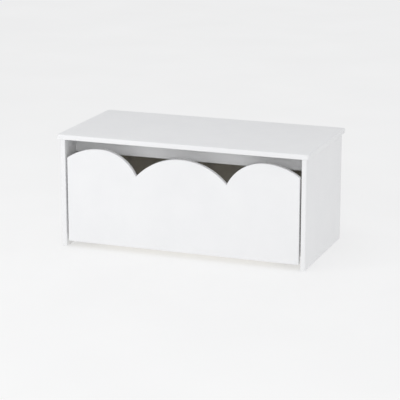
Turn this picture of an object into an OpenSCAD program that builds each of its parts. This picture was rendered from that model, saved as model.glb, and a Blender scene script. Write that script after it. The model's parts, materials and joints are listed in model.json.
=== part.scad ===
// A child's bench with a toy box that rolls out from under it.
// +Z is up, the open front faces -Y, and the origin is on the floor under the middle of the bench.

/* [Bench] */
// Length of the top board
bench_w = 900; // [700:1:1200]
// Depth of the top board
bench_d = 445; // [360:1:560]
// Height of the seat above the floor
bench_h = 400; // [330:1:500]
// Thickness of the top board
top_t = 18; // [16:1:25]
// Radius of the top board's four corners, seen from above
top_corner_r = 9; // [6:1:30]
// Radius that softens the top board's edges
top_edge_r = 4; // [2:0.5:7]
// How far the top board stands out past the panels
overhang = 10; // [4:1:20]
// Thickness of the side panels
side_t = 16; // [15:1:22]

/* [Rail and back] */
// Thickness of the front rail
rail_t = 16; // [15:1:22]
// Height of the front rail
rail_h = 62; // [50:1:80]
// How far the rail stands back from the panels' front edges
rail_setback = 92; // [70:1:120]
// Thickness of the back panel
back_t = 16; // [15:1:22]
// Gap between the back panel and the floor
back_lift = 20; // [5:1:60]

/* [Glides and bumpers] */
// Thickness of the glides under the side panels
glide_t = 2; // [1:0.5:4]
// Diameter of the glides
glide_d = 13; // [10:1:14]
// How far the glides stand in from the panels' ends
glide_inset = 35; // [20:1:80]
// Thickness of the two bumpers that stop the box
bumper_t = 5; // [3:1:10]
// Diameter of the bumpers
bumper_d = 18; // [12:1:24]
// How far the bumpers stand in from the side panels
bumper_inset = 110; // [60:1:160]

/* [Toy box] */
// Gap on each side between the box front and the side panels
box_gap = 6.5; // [3:0.5:10]
// How far the box front stands back from the panels' front edges
front_inset = 2; // [0:0.5:6]
// Gap between the box front and the floor
front_lift = 21; // [12:1:30]
// Thickness of the box front
front_t = 16; // [15:1:22]
// Thickness of the other boards of the box
box_t = 12; // [12:1:16]
// How far the box sides stand in from the ends of the box front
box_side_inset = 3; // [1:0.5:8]
// Gap under the rail, above the box sides
rail_clear = 22; // [10:1:40]

/* [Humps of the box front] */
// Gap between the top board and the two outer humps
side_hump_gap = 26; // [18:1:40]
// Gap between the top board and the middle hump
mid_hump_gap = 38; // [20:1:45]
// Width of the middle hump, from dip to dip
mid_hump_w = 326; // [260:1:360]
// Depth of the dips below the outer humps
dip_depth = 84; // [60:1:90]
// How far the outer corners fall below the outer humps
corner_drop = 38; // [20:1:50]
// How far each outer hump's peak sits outward of its own middle
hump_shift = 5; // [0:1:12]

/* [Castors] */
// Diameter of the castor wheels
wheel_d = 35; // [30:1:38]
// Width of the castor wheels
wheel_w = 14; // [10:1:18]
// Thickness of the soft tread
tread_t = 3; // [2:0.5:5]
// Gap between the wheel and the bracket above it
wheel_top_gap = 4.5; // [3:0.5:8]
// Gap between the wheel and each leg of its bracket
wheel_side_gap = 1; // [0.5:0.25:2]
// Thickness of the bracket's steel
bracket_t = 2; // [1.5:0.25:3]
// Length of the bracket's plate, along the roll
plate_l = 46; // [44:1:60]
// Width of the bracket's plate
plate_w = 44; // [42:1:56]
// Diameter of the axle
axle_d = 6; // [5:0.5:8]
// Distance from the box sides to the castor's middle
castor_inset_x = 50; // [36:1:90]
// Distance from the box front and back to the axle
castor_inset_y = 62; // [40:1:110]

/* [Fittings] */
// Diameter of the dowels of the bench
dowel_d = 8; // [6:1:8]
// Length of the dowels of the bench
dowel_l = 30; // [25:1:35]
// Diameter of the dowels of the box
box_dowel_d = 6; // [5:1:6]
// Diameter of the cam locks
cam_d = 15; // [12:1:15]
// Distance from a board's end to the cam's middle
cam_reach = 24; // [20:1:34]
// Metal between a cam bolt's head and the bottom of its cam lock
cam_floor = 0.5; // [0.3:0.1:0.8]
// Diameter of the cam bolts' shafts
bolt_d = 5; // [4.5:0.5:5.5]
// Length of the cam bolts' thread in the next board
bolt_bite = 10; // [8:0.5:11]
// Diameter of the box screws' threads
screw_d = 5; // [4:0.5:5]
// Length of the box screws
screw_l = 38; // [30:1:50]
// Diameter of the box screws' heads
screw_head_d = 9; // [8:0.5:10]
// Radial clearance round dowels, bolts, cams and screws
fit = 0.05; // [0.02:0.01:0.1]

/* [Hidden] */
$fn = 64;
eps = 0.01;
cut = 1;

// Bench levels and faces
under_top = bench_h - top_t;
side_x = bench_w / 2 - overhang;
inner_x = side_x - side_t;
panel_front_y = -(bench_d / 2 - overhang);
panel_back_y = bench_d / 2 - overhang;
rail_y = panel_front_y + rail_setback;
rail_z = under_top - rail_h;
back_y = panel_back_y - back_t;

// Box faces, with the box pushed in against its bumpers
front_x = inner_x - box_gap;
front_y = panel_front_y + front_inset;
front_inner_y = front_y + front_t;
box_x = front_x - box_side_inset;
box_inner_x = box_x - box_t;
box_back_y = back_y - bumper_t;
box_back_inner_y = box_back_y - box_t;
box_top = rail_z - rail_clear;
castor_h = wheel_d + wheel_top_gap + bracket_t;
floor_top = castor_h + box_t;

// Humps of the box front
dip_x = mid_hump_w / 2;
side_peak_x = (dip_x + front_x) / 2 + hump_shift;
side_peak_z = under_top - side_hump_gap;
mid_peak_z = under_top - mid_hump_gap;
dip_z = side_peak_z - dip_depth;

// Castors
wheel_r = wheel_d / 2;
castor_x = box_inner_x - castor_inset_x;
castor_front_y = front_inner_y + castor_inset_y;
castor_back_y = box_back_inner_y - castor_inset_y;
leg_in = wheel_w / 2 + wheel_side_gap;
leg_out = leg_in + bracket_t;
boss_r = axle_d / 2 + 4;
rivet_t = 1.5;
rivet_r = axle_d / 2 + 1.8;
plate_hole_d = 4.5;
plate_hole_in = 6;
plate_screw_d = 3.5;
plate_screw_l = 11;
plate_screw_head_d = 6.5;
plate_screw_head_t = 1.8;

// Where the fittings stand along the joints
top_bolt_y = [rail_y + rail_t + 25, panel_back_y - 60];
top_dowel_y = [panel_front_y + 30, 0, panel_back_y - 30];
rail_bolt_z = rail_z + 0.7 * rail_h;
rail_dowel_z = rail_z + 0.25 * rail_h;
rail_top_x = [-inner_x / 2, inner_x / 2];
back_bolt_z = [back_lift + 60, under_top - 70];
back_dowel_z = [back_lift + 30, (back_lift + under_top) / 2, under_top - 30];
box_bolt_z = [castor_h + 60, box_top - 45];
box_dowel_z = [castor_h + 35, box_top - 20];
box_screw_z = [floor_top + 35, (floor_top + box_top) / 2, box_top - 30];
box_screw_y = [front_inner_y + 60, (front_inner_y + box_back_y) / 2, box_back_inner_y - 50];
back_screw_x = [-box_inner_x / 2, 0, box_inner_x / 2];
dowel_half = dowel_l / 2;
dowel_play = 0.5;
dowel_in_board = 11;
bolt_head_l = 7;
bolt_head_r = bolt_d / 2 + 1;
bolt_hole_d = bolt_d + 3;
head_play = 0.3;
cam_turn = 3;
screw_head_t = 3;
screw_key_d = 4;

white = [0.93, 0.93, 0.94];
inner_coat = [0.88, 0.84, 0.74];
beech = [0.80, 0.66, 0.46];
zinc = [0.70, 0.71, 0.73];
steel = [0.60, 0.61, 0.63];
dark_rubber = [0.22, 0.22, 0.23];
core_grey = [0.45, 0.46, 0.48];
glide_grey = [0.75, 0.75, 0.74];

// ---- Shared shapes ----

// A board from its lowest corner to its highest corner
module board(low, high) {
    translate(low) cube(high - low);
}

// A round bar along +X, +Y or +Z from a point
module bar_x(at, l, d) {
    translate(at) rotate([0, 90, 0]) cylinder(h = l, d = d);
}

module bar_y(at, l, d) {
    translate(at) rotate([-90, 0, 0]) cylinder(h = l, d = d);
}

module bar_z(at, l, d) {
    translate(at) cylinder(h = l, d = d);
}

// A rectangle with round corners, centred
module round_rect(w, h, r) {
    square([w - 2 * r, h], center = true);
    square([w, h - 2 * r], center = true);
    for (sx = [-1, 1], sz = [-1, 1]) translate([sx * (w / 2 - r), sz * (h / 2 - r)]) circle(r = r);
}

// Mirrored copies on the left and the right
module both_sides() {
    for (m = [0, 1]) mirror([m, 0, 0]) children();
}

// ---- Fittings, on the right-hand side, each as the piece (g = 0) or as its hole (g = fit) ----

// A dowel centred on a joint, along X, Y or Z; its hole is longer than the dowel by dowel_play
module dowel(at, along, d, l, g) {
    half = l / 2 + (g > 0 ? dowel_play : 0);
    translate(at) rotate(along == "x" ? [0, 90, 0] : along == "y" ? [90, 0, 0] : [0, 0, 0])
        cylinder(h = 2 * half, d = d + 2 * g, center = true);
}

// Top board to side panel: dowels stand deeper in the panel than in the top
module top_side_dowels(g) {
    for (y = top_dowel_y)
        dowel([side_x - side_t / 2, y, under_top + dowel_in_board - dowel_half], "z",
            dowel_d, dowel_l, g);
}

// Rail to side panel, and rail to top board
module rail_side_dowel(g) {
    dowel([inner_x + dowel_in_board - dowel_half, rail_y + rail_t / 2, rail_dowel_z], "x",
        dowel_d, dowel_l, g);
}

module rail_top_dowels(g) {
    for (x = rail_top_x)
        dowel([x, rail_y + rail_t / 2, under_top + dowel_in_board - dowel_half], "z", dowel_d, dowel_l, g);
}

// Back panel to side panel
module back_side_dowels(g) {
    for (z = back_dowel_z)
        dowel([inner_x + dowel_in_board - dowel_half, back_y + back_t / 2, z], "x", dowel_d, dowel_l, g);
}

// Box front to box side
module box_front_dowels(g) {
    for (z = box_dowel_z)
        dowel([box_x - box_t / 2, front_inner_y - dowel_in_board + dowel_half, z], "y",
            box_dowel_d, dowel_l, g);
}

// A cam bolt along +Z from its head at the cam to its thread in the next board.
// z = 0 is the joint face, and the bolt reaches down to the cam.
module cam_bolt(bite) {
    translate([0, 0, -cam_reach - bolt_head_l / 2]) cylinder(h = bolt_head_l, r = bolt_head_r);
    translate([0, 0, -cam_reach]) cylinder(h = cam_reach + bite, d = bolt_d);
}

module cam_bolt_hole(bite, end) {
    translate([0, 0, -cam_reach]) cylinder(h = cam_reach + end, d = bolt_hole_d);
    translate([0, 0, -cut]) cylinder(h = cut + bite + fit, d = bolt_d + 2 * fit);
}

// A cam lock reaches half through its board and past the bolt's head
function cam_depth(board_t) = board_t / 2 + bolt_head_r + cam_floor;

// A cam lock: a disc with a cross in its open face and a way in for the bolt's head from -X.
// Its open face is at z = 0, the board's face.
module cam_lock(board_t) {
    depth = cam_depth(board_t);
    difference() {
        translate([0, 0, -depth]) cylinder(h = depth, d = cam_d);
        bar_x([-cam_d / 2 - cut, 0, -board_t / 2], cam_d / 2 + cut + bolt_head_l / 2 + 1,
            2 * bolt_head_r + 2 * head_play);
        translate([-4, -0.8, -cam_turn]) cube([8, 1.6, cam_turn + cut]);
        translate([-0.8, -4, -cam_turn]) cube([1.6, 8, cam_turn + cut]);
    }
}

module cam_hole(board_t) {
    depth = cam_depth(board_t) + fit;
    bar_z([0, 0, -depth], depth + cut, cam_d + 2 * fit);
}

// Each place turns a fitting into position; up is along the bolt and out is the cam's open face
module at_top_bolt(y) {
    translate([side_x - side_t / 2, y, under_top]) children();
}

module at_top_cam(y) {
    translate([inner_x, y, under_top - cam_reach]) rotate([0, -90, 0]) rotate([0, 0, 180]) children();
}

module at_rail_bolt() {
    translate([inner_x, rail_y + rail_t / 2, rail_bolt_z]) rotate([0, 90, 0]) children();
}

module at_rail_cam() {
    translate([inner_x - cam_reach, rail_y + rail_t, rail_bolt_z]) rotate([-90, 0, 0])
        rotate([0, 0, 180]) children();
}

module at_back_bolt(z) {
    translate([inner_x, back_y + back_t / 2, z]) rotate([0, 90, 0]) children();
}

module at_back_cam(z) {
    translate([inner_x - cam_reach, back_y, z]) rotate([90, 0, 0]) rotate([0, 0, 180]) children();
}

module at_box_bolt(z) {
    translate([box_x - box_t / 2, front_inner_y, z]) rotate([90, 0, 0]) children();
}

module at_box_cam(z) {
    translate([box_inner_x, front_inner_y + cam_reach, z]) rotate([0, -90, 0]) rotate([0, 0, 90]) children();
}

// A countersunk box screw along -Z from the board's face at z = 0
module box_screw() {
    difference() {
        union() {
            translate([0, 0, -screw_head_t]) cylinder(h = screw_head_t, d1 = screw_d, d2 = screw_head_d);
            translate([0, 0, -screw_l]) cylinder(h = screw_l - screw_head_t + eps, d = screw_d);
        }
        translate([0, 0, -screw_head_t + 1]) cylinder(h = screw_head_t, d = screw_key_d, $fn = 6);
    }
}

module box_screw_hole() {
    translate([0, 0, -screw_head_t - fit]) cylinder(h = screw_head_t + fit + eps,
        d1 = screw_d + 2 * fit, d2 = screw_head_d + 4 * fit);
    translate([0, 0, -screw_l - fit]) cylinder(h = screw_l, d = screw_d + 2 * fit);
}

// Places of the box screws in the right-hand side, and in the back
module at_side_screws() {
    for (z = box_screw_z) translate([box_x, box_back_y - box_t / 2, z]) rotate([0, 90, 0]) children();
    for (y = box_screw_y) translate([box_x, y, castor_h + box_t / 2]) rotate([0, 90, 0]) children();
}

module at_back_screws() {
    for (x = back_screw_x)
        translate([x, box_back_y, castor_h + box_t / 2]) rotate([-90, 0, 0]) children();
}

// ---- Bench ----

module top_board() {
    color(white) difference() {
        translate([0, 0, under_top + top_t / 2]) intersection() {
            linear_extrude(top_t, center = true) round_rect(bench_w, bench_d, top_corner_r);
            rotate([90, 0, 0]) linear_extrude(bench_d + 2 * cut, center = true)
                round_rect(bench_w, top_t, top_edge_r);
            rotate([90, 0, 90]) linear_extrude(bench_w + 2 * cut, center = true)
                round_rect(bench_d, top_t, top_edge_r);
        }
        both_sides() {
            top_side_dowels(fit);
            for (y = top_bolt_y) at_top_bolt(y) cam_bolt_hole(bolt_bite, 0);
        }
        rail_top_dowels(fit);
    }
}

// The right-hand panel
module side_panel() {
    difference() {
        board([inner_x, panel_front_y, glide_t], [side_x, panel_back_y, under_top]);
        top_side_dowels(fit);
        rail_side_dowel(fit);
        back_side_dowels(fit);
        for (y = top_bolt_y) {
            at_top_bolt(y) cam_bolt_hole(0, cut);
            at_top_cam(y) cam_hole(side_t);
        }
        at_rail_bolt() cam_bolt_hole(bolt_bite, 0);
        for (z = back_bolt_z) at_back_bolt(z) cam_bolt_hole(bolt_bite, 0);
    }
}

module left_side_panel() {
    color(white) mirror([1, 0, 0]) side_panel();
}

module right_side_panel() {
    color(white) side_panel();
}

module front_rail() {
    color(white) difference() {
        board([-inner_x, rail_y, rail_z], [inner_x, rail_y + rail_t, under_top]);
        rail_top_dowels(fit);
        both_sides() {
            rail_side_dowel(fit);
            at_rail_bolt() cam_bolt_hole(0, cut);
            at_rail_cam() cam_hole(rail_t);
        }
    }
}

module back_panel() {
    color(white) difference() {
        board([-inner_x, back_y, back_lift], [inner_x, panel_back_y, under_top]);
        both_sides() {
            back_side_dowels(fit);
            for (z = back_bolt_z) {
                at_back_bolt(z) cam_bolt_hole(0, cut);
                at_back_cam(z) cam_hole(back_t);
            }
        }
    }
}

module bench_dowels() {
    color(beech) {
        both_sides() {
            top_side_dowels(0);
            rail_side_dowel(0);
            back_side_dowels(0);
        }
        rail_top_dowels(0);
    }
}

module bench_cam_bolts() {
    color(steel) both_sides() {
        for (y = top_bolt_y) at_top_bolt(y) cam_bolt(bolt_bite);
        at_rail_bolt() cam_bolt(bolt_bite);
        for (z = back_bolt_z) at_back_bolt(z) cam_bolt(bolt_bite);
    }
}

module bench_cam_locks() {
    color(zinc) both_sides() {
        for (y = top_bolt_y) at_top_cam(y) cam_lock(side_t);
        at_rail_cam() cam_lock(rail_t);
        for (z = back_bolt_z) at_back_cam(z) cam_lock(back_t);
    }
}

module floor_glides() {
    color(glide_grey) both_sides()
        for (y = [panel_front_y + glide_inset, panel_back_y - glide_inset])
            bar_z([side_x - side_t / 2, y, 0], glide_t, glide_d);
}

module stop_bumpers() {
    color(dark_rubber) both_sides()
        bar_y([inner_x - bumper_inset, back_y - bumper_t, (floor_top + box_top) / 2], bumper_t, bumper_d);
}

// ---- Toy box ----

// One side of a hump: a quarter-like arc with its peak at (0, 0), falling by drop over run towards +X
module half_hump(run, drop) {
    r = (run * run + drop * drop) / (2 * drop);
    intersection() {
        translate([0, -r]) circle(r = r, $fn = 180);
        translate([0, -drop]) square([run, drop]);
    }
}

// The right-hand half of the front's outline, with its base at z = 0
module front_outline() {
    square([front_x, dip_z - front_lift]);
    translate([0, mid_peak_z - front_lift]) half_hump(dip_x, mid_peak_z - dip_z);
    translate([side_peak_x, side_peak_z - front_lift]) {
        mirror([1, 0]) half_hump(side_peak_x - dip_x, dip_depth);
        half_hump(front_x - side_peak_x, corner_drop);
        translate([0, -dip_depth]) square([front_x - side_peak_x, dip_depth - corner_drop]);
    }
}

module box_front() {
    color(white) difference() {
        translate([0, front_inner_y, front_lift]) rotate([90, 0, 0]) linear_extrude(front_t) {
            front_outline();
            mirror([1, 0]) front_outline();
        }
        both_sides() {
            box_front_dowels(fit);
            for (z = box_bolt_z) at_box_bolt(z) cam_bolt_hole(bolt_bite, 0);
        }
    }
}

// The right-hand side of the box
module box_side() {
    difference() {
        board([box_inner_x, front_inner_y, castor_h], [box_x, box_back_y, box_top]);
        box_front_dowels(fit);
        for (z = box_bolt_z) {
            at_box_bolt(z) cam_bolt_hole(0, cut);
            at_box_cam(z) cam_hole(box_t);
        }
        at_side_screws() box_screw_hole();
    }
}

module box_left_side() {
    color(inner_coat) mirror([1, 0, 0]) box_side();
}

module box_right_side() {
    color(inner_coat) box_side();
}

module box_back() {
    color(inner_coat) difference() {
        board([-box_inner_x, box_back_inner_y, castor_h], [box_inner_x, box_back_y, box_top]);
        both_sides() at_side_screws() box_screw_hole();
        at_back_screws() box_screw_hole();
    }
}

module box_bottom() {
    color(inner_coat) difference() {
        board([-box_inner_x, front_inner_y, castor_h], [box_inner_x, box_back_inner_y, floor_top]);
        both_sides() at_side_screws() box_screw_hole();
        at_back_screws() box_screw_hole();
        all_castors() at_plate_screws() plate_screw_hole();
    }
}

module box_dowels() {
    color(beech) both_sides() box_front_dowels(0);
}

module box_cam_bolts() {
    color(steel) both_sides() for (z = box_bolt_z) at_box_bolt(z) cam_bolt(bolt_bite);
}

module box_cam_locks() {
    color(zinc) both_sides() for (z = box_bolt_z) at_box_cam(z) cam_lock(box_t);
}

module box_screws() {
    color(steel) {
        both_sides() at_side_screws() box_screw();
        at_back_screws() box_screw();
    }
}

// ---- Castors ----

module at_castor(sx, y) {
    translate([sx * castor_x, y, wheel_r]) children();
}

module front_left() {
    at_castor(-1, castor_front_y) children();
}

module front_right() {
    at_castor(1, castor_front_y) children();
}

module rear_left() {
    at_castor(-1, castor_back_y) children();
}

module rear_right() {
    at_castor(1, castor_back_y) children();
}

module all_castors() {
    for (sx = [-1, 1], y = [castor_front_y, castor_back_y]) at_castor(sx, y) children();
}

// Plate screws point up into the box bottom; z = 0 is the underside of the plate
module at_plate_screws() {
    for (sx = [-1, 1], sy = [-1, 1])
        translate([sx * (plate_w / 2 - plate_hole_in), sy * (plate_l / 2 - plate_hole_in),
            castor_h - bracket_t - wheel_r]) children();
}

module plate_screw_hole() {
    cylinder(h = plate_screw_l + fit, d = plate_screw_d + 2 * fit);
}

module plate_screw() {
    difference() {
        union() {
            translate([0, 0, -plate_screw_head_t])
                cylinder(h = plate_screw_head_t, d1 = plate_screw_head_d - 2, d2 = plate_screw_head_d);
            cylinder(h = plate_screw_l, d = plate_screw_d);
        }
        for (a = [0, 90]) rotate([0, 0, a])
            translate([-2, -0.4, -plate_screw_head_t - cut]) cube([4, 0.8, 1 + cut]);
    }
}

// A leg of the bracket, seen along the axle, from the plate down to a round end at the axle
module leg_outline() {
    top = castor_h - bracket_t - wheel_r;
    reach = wheel_r * 0.75;
    polygon([[-reach, top], [reach, top], [boss_r, 0], [-boss_r, 0]]);
    circle(r = boss_r);
}

// A pressed bracket about the axle's middle
module castor_bracket() {
    plate_z = castor_h - bracket_t - wheel_r;
    color(steel) difference() {
        union() {
            translate([0, 0, plate_z]) linear_extrude(bracket_t) round_rect(plate_w, plate_l, 4);
            for (x = [-leg_out, leg_in]) translate([x, 0, 0]) rotate([90, 0, 90])
                linear_extrude(bracket_t) leg_outline();
        }
        bar_x([-leg_out - cut, 0, 0], 2 * (leg_out + cut), axle_d + 2 * fit);
        at_plate_screws() translate([0, 0, -cut]) cylinder(h = bracket_t + 2 * cut, d = plate_hole_d);
    }
}

// A riveted axle with a head outside each leg
module castor_axle() {
    color(zinc) {
        bar_x([-leg_out - rivet_t, 0, 0], 2 * (leg_out + rivet_t), axle_d);
        for (x = [-leg_out - rivet_t, leg_out]) bar_x([x, 0, 0], rivet_t, 2 * rivet_r);
    }
}

// A wheel core: a hub, a thin web and a rim, turned about the axle
module castor_wheel() {
    rim_r = wheel_r - tread_t;
    color(core_grey) rotate([0, 90, 0]) rotate_extrude() {
        translate([axle_d / 2 + fit, -wheel_w / 2]) square([3, wheel_w]);
        translate([axle_d / 2 + fit, -wheel_w / 6]) square([rim_r - axle_d / 2 - fit, wheel_w / 3]);
        translate([rim_r - 2.5, -wheel_w / 2 + 0.5]) square([2.5, wheel_w - 1]);
    }
}

// A soft tread round the core with rounded shoulders
module castor_tread() {
    shoulder = min(1.5, tread_t / 2);
    rim_r = wheel_r - tread_t;
    half_w = wheel_w / 2 - 0.5;
    color(dark_rubber) rotate([0, 90, 0]) rotate_extrude() {
        translate([rim_r, -half_w]) square([tread_t - shoulder, 2 * half_w]);
        translate([rim_r, -half_w + shoulder]) square([tread_t, 2 * (half_w - shoulder)]);
        for (s = [-1, 1]) translate([wheel_r - shoulder, s * (half_w - shoulder)]) circle(r = shoulder);
    }
}

module castor_screws() {
    color(steel) all_castors() at_plate_screws() plate_screw();
}

top_board();
left_side_panel();
right_side_panel();
front_rail();
back_panel();
bench_dowels();
bench_cam_bolts();
bench_cam_locks();
floor_glides();
stop_bumpers();
box_front();
box_left_side();
box_right_side();
box_back();
box_bottom();
box_dowels();
box_cam_bolts();
box_cam_locks();
box_screws();
front_left() castor_bracket();  // castor_bracket_front_left
front_right() castor_bracket();  // castor_bracket_front_right
rear_left() castor_bracket();  // castor_bracket_rear_left
rear_right() castor_bracket();  // castor_bracket_rear_right
front_left() castor_axle();  // castor_axle_front_left
front_right() castor_axle();  // castor_axle_front_right
rear_left() castor_axle();  // castor_axle_rear_left
rear_right() castor_axle();  // castor_axle_rear_right
front_left() castor_wheel();  // castor_wheel_front_left
front_right() castor_wheel();  // castor_wheel_front_right
rear_left() castor_wheel();  // castor_wheel_rear_left
rear_right() castor_wheel();  // castor_wheel_rear_right
front_left() castor_tread();  // castor_tread_front_left
front_right() castor_tread();  // castor_tread_front_right
rear_left() castor_tread();  // castor_tread_rear_left
rear_right() castor_tread();  // castor_tread_rear_right
castor_screws();
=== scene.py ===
"""A child's bench with a toy box that rolls out from under it: its looks, the camera and the light."""
import json
import math

import bmesh
import bpy
from mathutils import Matrix, Vector


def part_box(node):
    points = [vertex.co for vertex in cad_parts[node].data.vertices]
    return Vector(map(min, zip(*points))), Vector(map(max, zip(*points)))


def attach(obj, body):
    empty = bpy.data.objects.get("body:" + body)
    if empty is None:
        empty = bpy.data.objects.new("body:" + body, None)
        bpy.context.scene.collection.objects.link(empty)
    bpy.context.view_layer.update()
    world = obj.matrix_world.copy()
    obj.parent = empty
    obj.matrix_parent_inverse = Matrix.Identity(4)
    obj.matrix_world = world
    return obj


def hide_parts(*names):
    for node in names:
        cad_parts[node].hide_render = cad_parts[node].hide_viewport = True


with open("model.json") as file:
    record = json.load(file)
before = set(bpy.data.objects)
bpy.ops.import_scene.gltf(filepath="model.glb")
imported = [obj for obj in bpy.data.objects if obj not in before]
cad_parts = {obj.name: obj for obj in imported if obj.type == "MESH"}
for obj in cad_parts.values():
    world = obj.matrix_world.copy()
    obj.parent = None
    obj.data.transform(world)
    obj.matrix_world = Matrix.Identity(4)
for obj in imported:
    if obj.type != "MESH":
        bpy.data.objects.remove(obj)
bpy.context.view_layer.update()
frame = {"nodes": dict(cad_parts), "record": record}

MM = 0.001

# ---- Sizes of the looks, in metres ----

EDGE_STEPS = 5                  # faces across a rounded edge
LACQUER_EDGE = 1.6 * MM         # sanded and lacquered board edges
BOX_EDGE = 0.8 * MM             # edges of the box's own boards
TOP_EDGE = 4 * MM               # the top board's softened edge
TOP_CORNER = 9 * MM             # the top board's corners, seen from above
FRONT_CORNER = 4 * MM           # the box front's outer corners
CORNER_SHARE = 1.2              # corner radius of a plain board, as a share of its edge's radius

# The humps of the box front
MID_HUMP_W = 326 * MM           # from dip to dip
MID_HUMP_GAP = 38 * MM          # between the top board and the middle hump
DIP_DEPTH = 84 * MM             # below the outer humps
CORNER_DROP = 38 * MM           # outer corners, below the outer humps
HUMP_SHIFT = 5 * MM             # peak of an outer hump, outward of its own middle
HUMP_STEPS = 40                 # faces along half a hump

# Drilling and turning
TURN_STEPS = 48                 # faces round a turned piece
HOLE_PLAY = 0.05 * MM           # clearance round a fitting in its hole
HOLE_CHAMFER = 0.3 * MM         # broken edge of a hole
HOLE_CUT = 0.5 * MM             # how far a cutter stands out of the face it opens
SEAM = 0.001 * MM               # points closer than this are one point
SHARP = math.radians(30)        # edges sharper than this are shaded as edges

# Castors
BRACKET_T = 2 * MM
BRACKET_EDGE = 0.5 * MM
BRACKET_CORNER = 4 * MM
WELD = 1.1 * MM                 # reach of the welds between the plate and its legs
BOSS_R = 7 * MM                 # round end of a leg
LEG_REACH = 0.75                # half of a leg's length along the plate, as a share of the wheel's radius
HUB_WALL = 3 * MM
RIM_WALL = 2.5 * MM
RIM_SET_IN = 0.5 * MM           # how far the rim and the tread stand in from the hub's ends
WEB_SHARE = 1 / 3               # thickness of the web, as a share of the wheel's width
RIBS = 6
RIB_T = 1.6 * MM
RIB_SET_IN = 1.6 * MM           # from the hub's ends
TREAD_T = 3 * MM
GROOVE = 0.5 * MM
AXLE_R = 3 * MM
RIVET_T = 1.5 * MM
LEG_EDGE = 0.3 * MM
LEG_FLANK = 5 * MM              # reach of the curve in a leg's flank
AXLE_EASE = 0.3 * MM            # reach of the soft corners of the turned and moulded pieces
WHEEL_EASE = 0.45 * MM
TREAD_EASE = 0.35 * MM
RIB_EASE = 0.35 * MM
GLIDE_EASE = 0.3 * MM
BUMPER_EASE = 0.9 * MM


# ---- Materials ----

class Recipe:
    """A material made of nodes round one Principled shader, on coordinates in metres."""

    def __init__(self, name, roughness, metallic=0.0, specular=0.5):
        self.material = bpy.data.materials.new(name)
        self.material.use_nodes = True
        self.tree = self.material.node_tree
        self.shader = self.tree.nodes["Principled BSDF"]
        self.shader.inputs["Roughness"].default_value = roughness
        self.shader.inputs["Metallic"].default_value = metallic
        self.shader.inputs["Specular IOR Level"].default_value = specular
        self.place = self.node("ShaderNodeTexCoord").outputs["Object"]

    def node(self, kind, inputs=None, **settings):
        made = self.tree.nodes.new(kind)
        for key, value in settings.items():
            setattr(made, key, value)
        for key, value in (inputs or {}).items():
            self.feed(made.inputs[key], value)
        return made

    def feed(self, socket, value):
        if isinstance(value, bpy.types.NodeSocket):
            self.tree.links.new(value, socket)
        else:
            socket.default_value = value

    def stretched(self, stretch):
        return self.node("ShaderNodeMapping", {"Vector": self.place, "Scale": stretch}).outputs["Vector"]

    def noise(self, scale, detail=3.0, roughness=0.5, stretch=(1, 1, 1)):
        made = self.node("ShaderNodeTexNoise", {"Vector": self.stretched(stretch), "Scale": scale,
                                                "Detail": detail, "Roughness": roughness})
        return made.outputs["Fac"]

    def ramp(self, factor, *stops):
        made = self.node("ShaderNodeValToRGB", {"Fac": factor})
        elements = made.color_ramp.elements
        while len(elements) < len(stops):
            elements.new(0.5)
        for element, (place, colour) in zip(elements, stops):
            element.position = place
            element.color = (*colour, 1.0)
        return made.outputs["Color"]

    def levels(self, factor, low, high, to_low, to_high):
        made = self.node("ShaderNodeMapRange", {"Value": factor, "From Min": low, "From Max": high,
                                                "To Min": to_low, "To Max": to_high})
        return made.outputs["Result"]

    def mix(self, factor, first, second):
        made = self.node("ShaderNodeMix", data_type="RGBA")
        for socket, value in ((made.inputs[0], factor), (made.inputs[6], first), (made.inputs[7], second)):
            self.feed(socket, value)
        return made.outputs[2]

    def bump(self, height, distance):
        made = self.node("ShaderNodeBump", {"Height": height, "Distance": distance, "Strength": 1.0})
        previous = self.shader.inputs["Normal"]
        if previous.links:
            self.feed(made.inputs["Normal"], previous.links[0].from_socket)
        self.feed(previous, made.outputs["Normal"])

    def colour(self, value):
        self.feed(self.shader.inputs["Base Color"], value)

    def gloss(self, value):
        self.feed(self.shader.inputs["Roughness"], value)


def lacquer():
    """White satin lacquer on fibreboard: sprayed, with a faint orange peel and a faint cloudiness."""
    r = Recipe("white_lacquer", 0.4)
    cloud = r.noise(9, 4, 0.55)
    r.colour(r.ramp(cloud, (0.3, (0.835, 0.838, 0.846)), (0.7, (0.858, 0.86, 0.866))))
    r.gloss(r.levels(r.noise(60, 5, 0.6), 0.3, 0.7, 0.36, 0.46))
    r.bump(r.noise(420, 2, 0.4), 0.025 * MM)
    r.bump(r.noise(30, 2, 0.4), 0.12 * MM)
    return r.material


def inner_coat():
    """Ivory roller coat on the box's inner boards: matt, stippled, a little uneven over the fibre."""
    r = Recipe("inner_coat", 0.6, specular=0.35)
    cloud = r.noise(14, 4, 0.6)
    thin = r.levels(r.noise(700, 3, 0.7), 0.66, 0.78, 0.0, 0.35)
    coat = r.ramp(cloud, (0.3, (0.875, 0.825, 0.715)), (0.7, (0.895, 0.855, 0.76)))
    r.colour(r.mix(thin, coat, (0.70, 0.655, 0.57, 1.0)))
    r.gloss(r.levels(r.noise(180, 3), 0.3, 0.7, 0.52, 0.68))
    r.bump(r.noise(650, 3, 0.55), 0.05 * MM)
    return r.material


def raw_fibreboard():
    """Bare fibreboard where a hole is drilled: fine mixed fibres with dark specks."""
    dark = (0.20, 0.125, 0.065)
    r = Recipe("raw_fibreboard", 0.75, specular=0.3)
    fine = r.ramp(r.noise(900, 4, 0.7), (0.36, dark), (0.64, (0.40, 0.285, 0.17)))
    specks = r.levels(r.noise(1500, 2, 0.8), 0.62, 0.7, 0.0, 0.55)
    r.colour(r.mix(specks, fine, (*[0.45 * c for c in dark], 1.0)))
    r.bump(r.noise(1100, 3, 0.6), 0.09 * MM)
    return r.material


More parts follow.
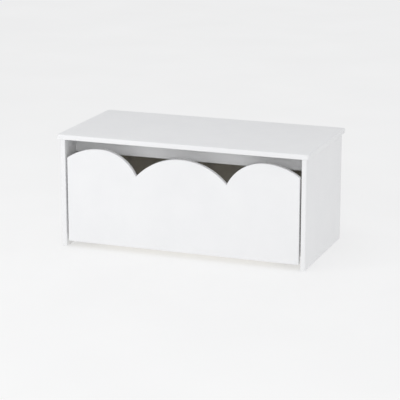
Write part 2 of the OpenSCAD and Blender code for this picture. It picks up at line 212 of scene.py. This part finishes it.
def beech():
    """Turned beech of the dowels: pale, with short darker flecks along the grain."""
    r = Recipe("beech", 0.6, specular=0.35)
    grain = r.noise(260, 4, 0.6, (1, 1, 0.12))
    r.colour(r.ramp(grain, (0.3, (0.46, 0.29, 0.15)), (0.7, (0.66, 0.46, 0.27))))
    r.gloss(r.levels(grain, 0.3, 0.7, 0.66, 0.52))
    r.bump(grain, 0.05 * MM)
    return r.material


def metal(name, colour, roughness, brushing):
    """Plated metal: fine brushing along X, with a faint mottle in the plating."""
    r = Recipe(name, roughness, metallic=1.0)
    mottle = r.noise(140, 4, 0.6)
    r.colour(r.ramp(mottle, (0.3, tuple(0.88 * c for c in colour)), (0.7, colour)))
    lines = r.noise(1600, 3, 0.6, (0.05, 1, 1))
    r.gloss(r.levels(lines, 0.3, 0.7, roughness - 0.08, roughness + 0.1))
    r.bump(lines, brushing)
    return r.material


def moulded(name, dark, light, roughness, grain):
    """Moulded plastic or rubber: an even, fine sparked surface with a faint tone."""
    r = Recipe(name, roughness, specular=0.4)
    r.colour(r.ramp(r.noise(45, 4), (0.3, dark), (0.7, light)))
    fine = r.noise(2200, 2, 0.6)
    r.gloss(r.levels(fine, 0.3, 0.7, roughness - 0.06, roughness + 0.08))
    r.bump(fine, grain)
    return r.material


FINISH = {
    "white_lacquer": lacquer(),
    "inner_coat": inner_coat(),
    "beech": beech(),
    "zinc": metal("zinc", (0.62, 0.63, 0.65), 0.42, 0.012 * MM),
    "steel": metal("steel", (0.60, 0.61, 0.63), 0.3, 0.008 * MM),
    "glide_plastic": moulded("glide_plastic", (0.50, 0.50, 0.48), (0.58, 0.58, 0.56), 0.5, 0.02 * MM),
    "bumper_rubber": moulded("bumper_rubber", (0.018, 0.018, 0.018), (0.03, 0.03, 0.03), 0.75, 0.03 * MM),
    "wheel_plastic": moulded("wheel_plastic", (0.07, 0.072, 0.078), (0.095, 0.098, 0.105), 0.42,
                             0.015 * MM),
    "tread_rubber": moulded("tread_rubber", (0.022, 0.022, 0.024), (0.036, 0.036, 0.038), 0.7, 0.03 * MM),
}
DRILLED = raw_fibreboard()
SLOT_OF = {s["node"]: s["material_slot"] for s in frame["record"]["subparts"]}


# ---- Turned shapes, and holes ----

def curve(start, corner, end, steps):
    """Points of a curve from start to end that is drawn towards the corner."""
    shares = [k / steps for k in range(steps + 1)]
    return [start * (1 - t) ** 2 + corner * (2 * t * (1 - t)) + end * t ** 2 for t in shares]


def eased(profile, reach, closed=False, steps=4):
    """The profile with rounded corners: each curve runs from reach before a corner to reach after it."""
    points = [Vector(p) for p in profile]
    made = []
    for i, here in enumerate(points):
        if not closed and i in (0, len(points) - 1):
            made.append(here)
            continue
        before, after = points[i - 1] - here, points[(i + 1) % len(points)] - here
        start = here + before.normalized() * min(reach, before.length / 2.1)
        end = here + after.normalized() * min(reach, after.length / 2.1)
        made += curve(start, here, end, steps)
    return made


def turn(bm, profile, centre, axis, closed=False):
    """Adds a solid turned about a line through centre along axis, from (along, out) points.
    An open profile starts and ends on the line, and a closed one goes round a ring."""
    facing = Vector(axis).to_track_quat("Z", "Y").to_matrix()
    rings = []
    for along, out in profile:
        angles = [2 * math.pi * k / TURN_STEPS for k in range(TURN_STEPS)] if out > 0 else [0]
        ring = [Vector((out * math.cos(a), out * math.sin(a), along)) for a in angles]
        rings.append([bm.verts.new(Vector(centre) + facing @ p) for p in ring])
    pairs = list(zip(rings, rings[1:]))
    if closed:
        pairs.append((rings[-1], rings[0]))
    for ring, following in pairs:
        for k in range(TURN_STEPS):
            corners = (ring[(k - 1) % len(ring)], ring[k % len(ring)],
                       following[k % len(following)], following[(k - 1) % len(following)])
            bm.faces.new(list(dict.fromkeys(corners))).smooth = True


def combined(piece, others, operation):
    """The piece cut by the others, or joined with them; the others are used up."""
    for other in others:
        step = piece.modifiers.new(other.name, "BOOLEAN")
        step.object = other
        step.operation = operation
        step.solver = "EXACT"
        step.material_mode = "TRANSFER"
    bpy.context.view_layer.update()
    result = bpy.data.meshes.new_from_object(piece.evaluated_get(bpy.context.evaluated_depsgraph_get()))
    piece.modifiers.clear()
    bm = bmesh.new()
    bm.from_mesh(result)
    bmesh.ops.remove_doubles(bm, verts=bm.verts, dist=SEAM)
    bmesh.ops.dissolve_degenerate(bm, edges=bm.edges, dist=SEAM)
    bm.to_mesh(result)
    bm.free()
    result.set_sharp_from_angle(angle=SHARP)
    piece.data = result
    for other in others:
        bpy.data.objects.remove(other)


def solids_of(node):
    """The edges of each separate solid of a CAD node, as pairs of points, each from both ends."""
    bm = bmesh.new()
    bm.from_mesh(frame["nodes"][node].data)
    bmesh.ops.remove_doubles(bm, verts=bm.verts, dist=SEAM)
    seen = set()
    solids = []
    for first in bm.verts:
        if first in seen:
            continue
        seen.add(first)
        waiting, edges = [first], []
        while waiting:
            here = waiting.pop()
            for edge in here.link_edges:
                other = edge.other_vert(here)
                edges.append((here.co.copy(), other.co.copy()))
                if other not in seen:
                    seen.add(other)
                    waiting.append(other)
        solids.append(edges)
    bm.free()
    return solids


class RoundSolid:
    """A round solid of a CAD node: its direction, its middle, and its outside as (along, out) pairs."""

    def __init__(self, edges):
        points = [start for start, end in edges]
        self.low = [min(p[k] for p in points) for k in range(3)]
        self.high = [max(p[k] for p in points) for k in range(3)]
        size = [self.high[k] - self.low[k] for k in range(3)]
        self.k = min(range(3), key=lambda j: abs(size[(j + 1) % 3] - size[(j + 2) % 3]))
        self.middle = Vector((self.low[j] + self.high[j]) / 2 for j in range(3))
        spans = [(self.place(start), self.place(end)) for start, end in edges]
        levels = sorted({round(along, 5) for (along, out), end in spans})
        outline = []
        for start, end in zip(levels, levels[1:]):
            near, far = [self.widest(spans, start + (end - start) * share) for share in (0.01, 0.99)]
            slope = (far - near) / 98
            outline += [(start, near - slope), (end, far + slope)]
        self.outline = without_straight_points(outline)

    def place(self, point):
        from_middle = point - self.middle
        along = from_middle[self.k]
        from_middle[self.k] = 0
        return along, from_middle.length

    def widest(self, spans, height):
        """How far out the solid reaches at a height, along the edges that pass it."""
        reach = 0
        for (start, out), (end, end_out) in spans:
            if start < height < end:
                reach = max(reach, out + (end_out - out) * (height - start) / (end - start))
        return reach

    def reaches(self, low, high):
        return all(self.high[j] > low[j] + HOLE_PLAY and self.low[j] < high[j] - HOLE_PLAY
                   for j in range(3))


def without_straight_points(outline):
    kept = outline[:1]
    for here, following in zip(outline[1:], outline[2:]):
        before = kept[-1]
        cross = ((here[0] - before[0]) * (following[1] - before[1])
                 - (here[1] - before[1]) * (following[0] - before[0]))
        if abs(cross) > SEAM * MM:
            kept.append(here)
    return kept + outline[-1:]


def hole_outline(solid, face_low, face_high):
    """The outline of the hole for a round solid in a board between two faces."""
    outline = solid.outline
    grown = []
    for i, (along, out) in enumerate(outline):
        for other in (outline[max(i - 1, 0)], outline[min(i + 1, len(outline) - 1)]):
            if other != (along, out) and abs(other[0] - along) < SEAM:
                narrows_upward = (other[1] > out) == (other == outline[i - 1])
                along += HOLE_PLAY if narrows_upward else -HOLE_PLAY
        grown.append((along, out + HOLE_PLAY))
    (first, first_out), (last, last_out) = grown[0], grown[-1]
    middle = solid.middle[solid.k]
    if abs(middle + first - face_low) < HOLE_PLAY:
        grown[:1] = mouth(first, first_out, -1)
    else:
        grown[0] = (first - HOLE_PLAY, first_out)
    if abs(middle + last - face_high) < HOLE_PLAY:
        grown[-1:] = reversed(mouth(last, last_out, 1))
    else:
        grown[-1] = (last + HOLE_PLAY, last_out)
    return [(grown[0][0], 0)] + grown + [(grown[-1][0], 0)]


def mouth(along, out, way):
    """A hole where it opens a face, from outside: its edge is broken."""
    return [(along + way * HOLE_CUT, out + HOLE_CHAMFER + HOLE_CUT), (along - way * HOLE_CHAMFER, out)]


FITTINGS = [RoundSolid(edges)
            for node in ("bench_dowels", "bench_cam_bolts", "bench_cam_locks", "box_dowels",
                         "box_cam_bolts", "box_cam_locks", "box_screws", "castor_screws")
            for edges in solids_of(node)]


def drill(piece, node):
    """Cuts a seat in the piece for each fitting that reaches into its CAD node."""
    low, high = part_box(node)
    cutters = []
    for solid in FITTINGS:
        if solid.reaches(low, high):
            bm = bmesh.new()
            axis = [float(j == solid.k) for j in range(3)]
            turn(bm, hole_outline(solid, low[solid.k], high[solid.k]), solid.middle, axis)
            cutters.append(made_object("cutter", bm, DRILLED))
    combined(piece, cutters, "DIFFERENCE")


# ---- Boards ----

def arc(centre, radius, start, end, steps):
    """Points of an arc from start to end, in degrees."""
    angles = [math.radians(start + (end - start) * k / steps) for k in range(steps + 1)]
    return [Vector((centre[0] + radius * math.cos(a), centre[1] + radius * math.sin(a))) for a in angles]


def rounded_rectangle(low, high, radius, steps=6):
    """Outline of a rectangle with round corners, anticlockwise."""
    left, right, bottom, top = low[0] + radius, high[0] - radius, low[1] + radius, high[1] - radius
    corners = ((right, bottom, -90), (right, top, 0), (left, top, 90), (left, bottom, 180))
    return [p for x, y, a in corners for p in arc((x, y), radius, a, a + 90, steps)]


def moved_in(outline, distance):
    """The outline moved inward by distance, with mitred corners."""
    moved = []
    for i, here in enumerate(outline):
        before = (here - outline[i - 1]).normalized()
        after = (outline[(i + 1) % len(outline)] - here).normalized()
        n, m = Vector((-before.y, before.x)), Vector((-after.y, after.x))
        moved.append(here + (n + m) * (distance / (1 + n.dot(m))))
    return moved


AXES = {"x": lambda u, v, w: (w, u, v), "y": lambda u, v, w: (u, w, v), "z": lambda u, v, w: (u, v, w)}


def board_shape(outline, across, low, high, edge):
    """A board with an outline in its own plane, from low to high across it, with rounded edges."""
    turns = [math.pi / 2 * k / EDGE_STEPS for k in range(EDGE_STEPS + 1)]
    lower = [(edge * (1 - math.cos(a)), low + edge * (1 - math.sin(a))) for a in reversed(turns)]
    upper = [(edge * (1 - math.cos(a)), high - edge * (1 - math.sin(a))) for a in turns]
    bm = bmesh.new()
    rings = []
    for inset, level in lower + upper:
        rings.append([bm.verts.new(AXES[across](p.x, p.y, level)) for p in moved_in(outline, inset)])
    for ring, following in zip(rings, rings[1:]):
        for i in range(len(ring)):
            face = bm.faces.new((ring[i - 1], ring[i], following[i], following[i - 1]))
            face.smooth = True
    bm.faces.new(rings[0])
    bm.faces.new(rings[-1])
    return bm


def made_object(name, bm, *materials):
    bmesh.ops.recalc_face_normals(bm, faces=bm.faces)
    mesh = bpy.data.meshes.new(name)
    bm.to_mesh(mesh)
    bm.free()
    mesh.set_sharp_from_angle(angle=SHARP)
    for material in materials:
        mesh.materials.append(material)
    piece = bpy.data.objects.new(name, mesh)
    bpy.context.collection.objects.link(piece)
    return piece


def stands_for(piece, node, body):
    """The piece takes the CAD node's place on its body."""
    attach(piece, body)
    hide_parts(node)


def plain_board(node, body, edge, corner):
    """A rectangular board in the place of a CAD node, drilled for its fittings; it is thinnest across."""
    low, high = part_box(node)
    size = [high[k] - low[k] for k in range(3)]
    k = size.index(min(size))
    u, v = [j for j in range(3) if j != k]
    outline = rounded_rectangle((low[u], low[v]), (high[u], high[v]), corner)
    shape = board_shape(outline, "xyz"[k], low[k], high[k], edge)
    piece = made_object(node + "_board", shape, FINISH[SLOT_OF[node]], DRILLED)
    drill(piece, node)
    stands_for(piece, node, body)


def half_hump(peak, end, steps=HUMP_STEPS):
    """An arc that is level at its peak and falls to its end."""
    run, drop = abs(end[0] - peak[0]), peak[1] - end[1]
    radius = (run * run + drop * drop) / (2 * drop)
    sweep = math.degrees(math.atan2(run, radius - drop))
    side = -1 if end[0] > peak[0] else 1
    return arc((peak[0], peak[1] - radius), radius, 90, 90 + side * sweep, steps)


def softened(outline, corner, reach, steps=6):
    """The outline with one corner rounded off: a curve from reach before it to reach after it."""
    i = min(range(len(outline)), key=lambda k: (outline[k] - corner).length)
    count = len(outline)
    before, after = i - 1, i + 1
    while (outline[before] - corner).length < reach:
        before -= 1
    while (outline[after % count] - corner).length < reach:
        after += 1
    start = corner + (outline[before] - corner).normalized() * reach
    end = corner + (outline[after % count] - corner).normalized() * reach
    rest = [outline[k % count] for k in range(after, count + before + 1)]
    return rest + curve(start, corner, end, steps)


def box_front():
    """The front of the box: three humps with a dip on each side of the middle one."""
    low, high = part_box("box_front")
    under_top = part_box("top_board")[0][2]
    edge_x, peak_z = high[0], high[2]
    dip = Vector((MID_HUMP_W / 2, peak_z - DIP_DEPTH))
    peak = Vector(((dip.x + edge_x) / 2 + HUMP_SHIFT, peak_z))
    corner = Vector((edge_x, peak_z - CORNER_DROP))
    middle = Vector((0, under_top - MID_HUMP_GAP))
    rising = list(reversed(half_hump(peak, corner)))[:-1]
    falling = half_hump(peak, dip)
    climbing = list(reversed(half_hump(middle, dip)))[1:]
    right = rising + falling + climbing
    left = [Vector((-p.x, p.y)) for p in reversed(right[:-1])]
    feet = [Vector((low[0], low[2])), Vector((high[0], low[2]))]
    outline = feet + right + left
    mirrored = Vector((-corner.x, corner.y))
    for place in (corner, mirrored, *feet):
        outline = softened(outline, place, FRONT_CORNER)
    shape = board_shape(outline, "y", low[1], high[1], LACQUER_EDGE)
    piece = made_object("box_front_board", shape, FINISH["white_lacquer"], DRILLED)
    drill(piece, "box_front")
    stands_for(piece, "box_front", "toy_box")


def bench_boards():
    plain_board("top_board", "bench", TOP_EDGE, TOP_CORNER)
    for node in ("left_side_panel", "right_side_panel", "front_rail", "back_panel"):
        plain_board(node, "bench", LACQUER_EDGE, LACQUER_EDGE * CORNER_SHARE)


def box_boards():
    for node in ("box_left_side", "box_right_side", "box_back", "box_bottom"):
        plain_board(node, "toy_box", BOX_EDGE, BOX_EDGE * CORNER_SHARE)


# ---- Castors, glides and bumpers ----

class Castor:
    """The sizes of one fixed castor, from its CAD nodes."""

    def __init__(self, where):
        self.where = where
        self.node = {part: f"castor_{part}_{where}" for part in ("bracket", "axle", "wheel", "tread")}
        box = {part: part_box(node) for part, node in self.node.items()}
        self.middle = (Vector(box["axle"][0]) + Vector(box["axle"][1])) / 2
        self.plate_low, self.plate_high = box["bracket"]
        self.wheel_half = half(box["wheel"], 0)
        self.wheel_r = half(box["tread"], 2)
        self.axle_half = half(box["axle"], 0)
        self.rivet_r = half(box["axle"], 2)
        self.rim_half = self.wheel_half - RIM_SET_IN
        self.rim_r = self.wheel_r - TREAD_T
        self.leg_out = self.axle_half - RIVET_T

    def turned(self, part, body, outline, closed):
        bm = bmesh.new()
        turn(bm, outline, self.middle, (1, 0, 0), closed)
        piece = made_object(self.node[part] + "_turned", bm, FINISH[SLOT_OF[self.node[part]]])
        if part == "wheel":
            combined(piece, self.ribs(), "UNION")
        stands_for(piece, self.node[part], body)

    def axle(self):
        """A riveted axle: a plain shaft with a low domed head outside each leg."""
        head, dome = self.rivet_r, self.leg_out + 0.35 * RIVET_T
        right = [(self.leg_out, AXLE_R), (self.leg_out, head), (dome, head),
                 (self.leg_out + 0.8 * RIVET_T, 0.72 * head), (self.axle_half, 0.3 * head),
                 (self.axle_half, 0)]
        self.turned("axle", "toy_box", eased(mirrored(right) + right, AXLE_EASE), closed=False)

    def wheel(self):
        """A moulded core: a hub, a web with soft corners, and a rim."""
        bore = AXLE_R + HOLE_PLAY
        hub, web, rim_in = bore + HUB_WALL, self.wheel_half * WEB_SHARE, self.rim_r - RIM_WALL
        right = [(self.wheel_half, bore), (self.wheel_half, hub), (web, hub), (web, rim_in),
                 (self.rim_half, rim_in), (self.rim_half, self.rim_r)]
        outline = eased(right + mirrored(right), WHEEL_EASE, closed=True)
        self.turned("wheel", "wheel_" + self.where, outline, closed=True)

    def tread(self):
        """A soft tyre with round shoulders and two shallow grooves."""
        groove, side, top = 0.4 * self.rim_half, self.rim_half, self.wheel_r
        right = [(groove - GROOVE, top), (groove, top - GROOVE), (groove + GROOVE, top),
                 (side - TREAD_T / 2, top), (side - TREAD_T / 8, top - TREAD_T / 8),
                 (side, top - TREAD_T / 2), (side, self.rim_r)]
        outline = eased(mirrored(right) + right, TREAD_EASE, closed=True)
        self.turned("tread", "wheel_" + self.where, outline, closed=True)

    def ribs(self):
        """Ribs on both sides of the wheel's web, from the hub to the rim."""
        start, end = AXLE_R + 0.6 * HUB_WALL, self.rim_r - 0.5 * RIM_WALL
        made = []
        for k in range(RIBS):
            bm = bmesh.new()
            bmesh.ops.create_cube(bm, size=1)
            size = (2 * (self.wheel_half - RIB_SET_IN), RIB_T, end - start)
            bmesh.ops.scale(bm, vec=size, verts=bm.verts)
            bmesh.ops.translate(bm, vec=(0, 0, (start + end) / 2), verts=bm.verts)
            outward = [e for e in bm.edges if abs((e.verts[0].co - e.verts[1].co).z) > RIB_T]
            bmesh.ops.bevel(bm, geom=outward, offset=RIB_EASE, segments=3, affect="EDGES",
                            clamp_overlap=True)
            place = Matrix.Translation(self.middle) @ Matrix.Rotation(2 * math.pi * k / RIBS, 4, "X")
            bmesh.ops.transform(bm, matrix=place, verts=bm.verts)
            made.append(made_object("rib", bm, FINISH[SLOT_OF[self.node["wheel"]]]))
        return made

    def bracket(self):
        """A steel plate with four screw holes and two legs welded under it, drilled for the axle."""
        node, low, high = self.node["bracket"], self.plate_low, self.plate_high
        steel = FINISH[SLOT_OF[node]]
        under = high[2] - BRACKET_T
        plate = rounded_rectangle((low[0], low[1]), (high[0], high[1]), BRACKET_CORNER)
        shape = board_shape(plate, "z", under, high[2], BRACKET_EDGE)
        piece = made_object(node + "_pressed", shape, steel)
        parts = []
        for side in (-1, 1):
            outer = self.middle.x + side * self.leg_out
            faces = sorted((outer, outer - side * BRACKET_T))
            leg = board_shape(self.leg_outline(under), "x", *faces, LEG_EDGE)
            parts.append(made_object("leg", leg, steel))
            parts += [self.weld(faces[1], 1, under, steel), self.weld(faces[0], -1, under, steel)]
        combined(piece, parts, "UNION")
        bore = bmesh.new()
        through, radius = self.leg_out + HOLE_CUT, AXLE_R + HOLE_PLAY
        outline = [(-through, 0), (-through, radius), (through, radius), (through, 0)]
        turn(bore, outline, self.middle, (1, 0, 0))
        combined(piece, [made_object("bore", bore, steel)], "DIFFERENCE")
        drill(piece, node)
        stands_for(piece, node, "toy_box")

    def leg_outline(self, under):
        """A leg seen along the axle: wide at the plate, with hollow flanks down to a round end."""
        y, z, reach = self.middle.y, self.middle.z, LEG_REACH * self.wheel_r
        waist = Vector((1.15 * BOSS_R, z + 0.45 * (under - z)))
        flank = [Vector((BOSS_R, z)), waist, Vector((reach, under))]
        right = eased(flank, LEG_FLANK, steps=6) + [Vector((reach, under + 0.6 * BRACKET_T))]
        left = [Vector((-p.x, p.y)) for p in reversed(right)]
        return [p + Vector((y, 0)) for p in right + left + arc((0, z), BOSS_R, 180, 360, 20)[1:-1]]

    def weld(self, face, way, under, steel):
        """A hollow bead of weld along a leg, under the plate."""
        lap, turns = 0.4 * BRACKET_T, [math.pi / 2 * k / 5 for k in range(6)]
        bead = [(face + way * WELD * (1 - math.sin(a)), under - WELD * (1 - math.cos(a))) for a in turns]
        section = [(face - way * lap, under + lap), (bead[0][0], under + lap)] + bead
        section.append((face - way * lap, bead[-1][1]))
        reach = LEG_REACH * self.wheel_r - 2 * LEG_EDGE
        bm = bmesh.new()
        rows = [[bm.verts.new((x, self.middle.y + end * reach, z)) for x, z in section] for end in (-1, 1)]
        for i in range(len(section)):
            bm.faces.new((rows[0][i - 1], rows[0][i], rows[1][i], rows[1][i - 1])).smooth = True
        bm.faces.new(rows[0])
        bm.faces.new(rows[1])
        return made_object("weld", bm, steel)


def half(box, k):
    return (box[1][k] - box[0][k]) / 2


def mirrored(outline):
    return [(-along, out) for along, out in reversed(outline)]


def pads(node, body, axis, outline):
    """Round pads in the place of the solids of a CAD node."""
    bm = bmesh.new()
    for edges in solids_of(node):
        solid = RoundSolid(edges)
        turn(bm, outline(*solid.outline[-1]), solid.middle, axis)
    piece = made_object(node + "_moulded", bm, FINISH[SLOT_OF[node]])
    stands_for(piece, node, body)


def glide_outline(top, radius):
    """A glide from its fixed face down: a soft rim, and a sunk nail hole under it."""
    nail = -0.1 * top
    return eased([(top, 0), (top, radius), (-0.2 * top, radius), (-top, 0.84 * radius),
                  (-top, 0.3 * radius), (nail, 0.24 * radius), (nail, 0)], GLIDE_EASE)


def bumper_outline(top, radius):
    """A rubber stop from its fixed face out: a low cone with a round shoulder and a dished middle."""
    dish = 0.4 * top
    return eased([(-top, 0), (-top, radius), (-0.5 * top, radius), (top, 0.8 * radius),
                  (top, 0.4 * radius), (dish, 0.3 * radius), (dish, 0)], BUMPER_EASE)


def finish_nodes():
    """Every CAD node takes the finish of its slot."""
    for node, thing in frame["nodes"].items():
        thing.data.materials.clear()
        thing.data.materials.append(FINISH[SLOT_OF[node]])


# ---- Floor, light and camera ----

FLOOR_HALF = 40.0
FLOOR_GLOW = 0.505
KEY = {"at": (-1.9, -1.9, 0.95), "aim": (0.0, 0.0, 0.2), "size": 1.0, "watts": 9.0}
FILL = {"at": (1.65, -4.54, 1.49), "aim": (0.0, 0.0, 0.2), "size": 1.5, "watts": 29.0}
OVERHEAD = {"at": (-0.22, -1.28, 5.03), "aim": (0.0, 0.0, 0.2), "size": 2.5, "watts": 16.0}
SKY = 0.765


def floor():
    bm = bmesh.new()
    bmesh.ops.create_grid(bm, x_segments=8, y_segments=8, size=FLOOR_HALF)
    r = Recipe("floor", 0.9, specular=0.0)
    r.colour(r.ramp(r.noise(2.0, 3), (0.3, (0.44, 0.44, 0.44)), (0.7, (0.46, 0.46, 0.46))))
    r.shader.inputs["Emission Color"].default_value = (1.0, 1.0, 1.0, 1.0)
    r.shader.inputs["Emission Strength"].default_value = FLOOR_GLOW
    made_object("floor", bm, r.material)


def aimed(thing, at, aim):
    thing.location = at
    thing.rotation_euler = (Vector(aim) - Vector(at)).to_track_quat("-Z", "Y").to_euler()


def soft_light(name, at, aim, size, watts):
    data = bpy.data.lights.new(name, "AREA")
    data.shape = "DISK"
    data.size = size
    data.energy = watts
    light = bpy.data.objects.new(name, data)
    light.visible_camera = False
    bpy.context.collection.objects.link(light)
    aimed(light, at, aim)


def sky():
    world = bpy.data.worlds.new("studio")
    world.use_nodes = True
    background = world.node_tree.nodes["Background"]
    background.inputs["Color"].default_value = (0.985, 0.99, 1.0, 1.0)
    background.inputs["Strength"].default_value = SKY
    bpy.context.scene.world = world


CAMERA = {"turn": 20.38, "height": 14.81, "distance": 5.909, "aim": (-0.0217, 0.0351, 0.1429),
          "lens": 151.35}


def camera():
    """Turn is to the right of straight on, and height is above the horizon, both in degrees."""
    aside, above = math.radians(CAMERA["turn"]), math.radians(CAMERA["height"])
    back = Vector((math.sin(aside) * math.cos(above), -math.cos(aside) * math.cos(above), math.sin(above)))
    data = bpy.data.cameras.new("camera")
    data.lens = CAMERA["lens"]
    data.sensor_width = 36.0
    data.clip_end = 200.0
    made = bpy.data.objects.new("camera", data)
    bpy.context.collection.objects.link(made)
    aim = Vector(CAMERA["aim"])
    aimed(made, aim + back * CAMERA["distance"], aim)
    bpy.context.scene.camera = made


# ---- The scene ----

finish_nodes()
bench_boards()
box_front()
box_boards()
for corner_of_box in ("front_left", "front_right", "rear_left", "rear_right"):
    castor = Castor(corner_of_box)
    castor.bracket()
    castor.axle()
    castor.wheel()
    castor.tread()
pads("floor_glides", "bench", (0, 0, 1), glide_outline)
pads("stop_bumpers", "bench", (0, -1, 0), bumper_outline)
floor()
sky()
soft_light("key", **KEY)
soft_light("fill", **FILL)
soft_light("overhead", **OVERHEAD)
camera()

bpy.context.scene.view_settings.view_transform = "Standard"
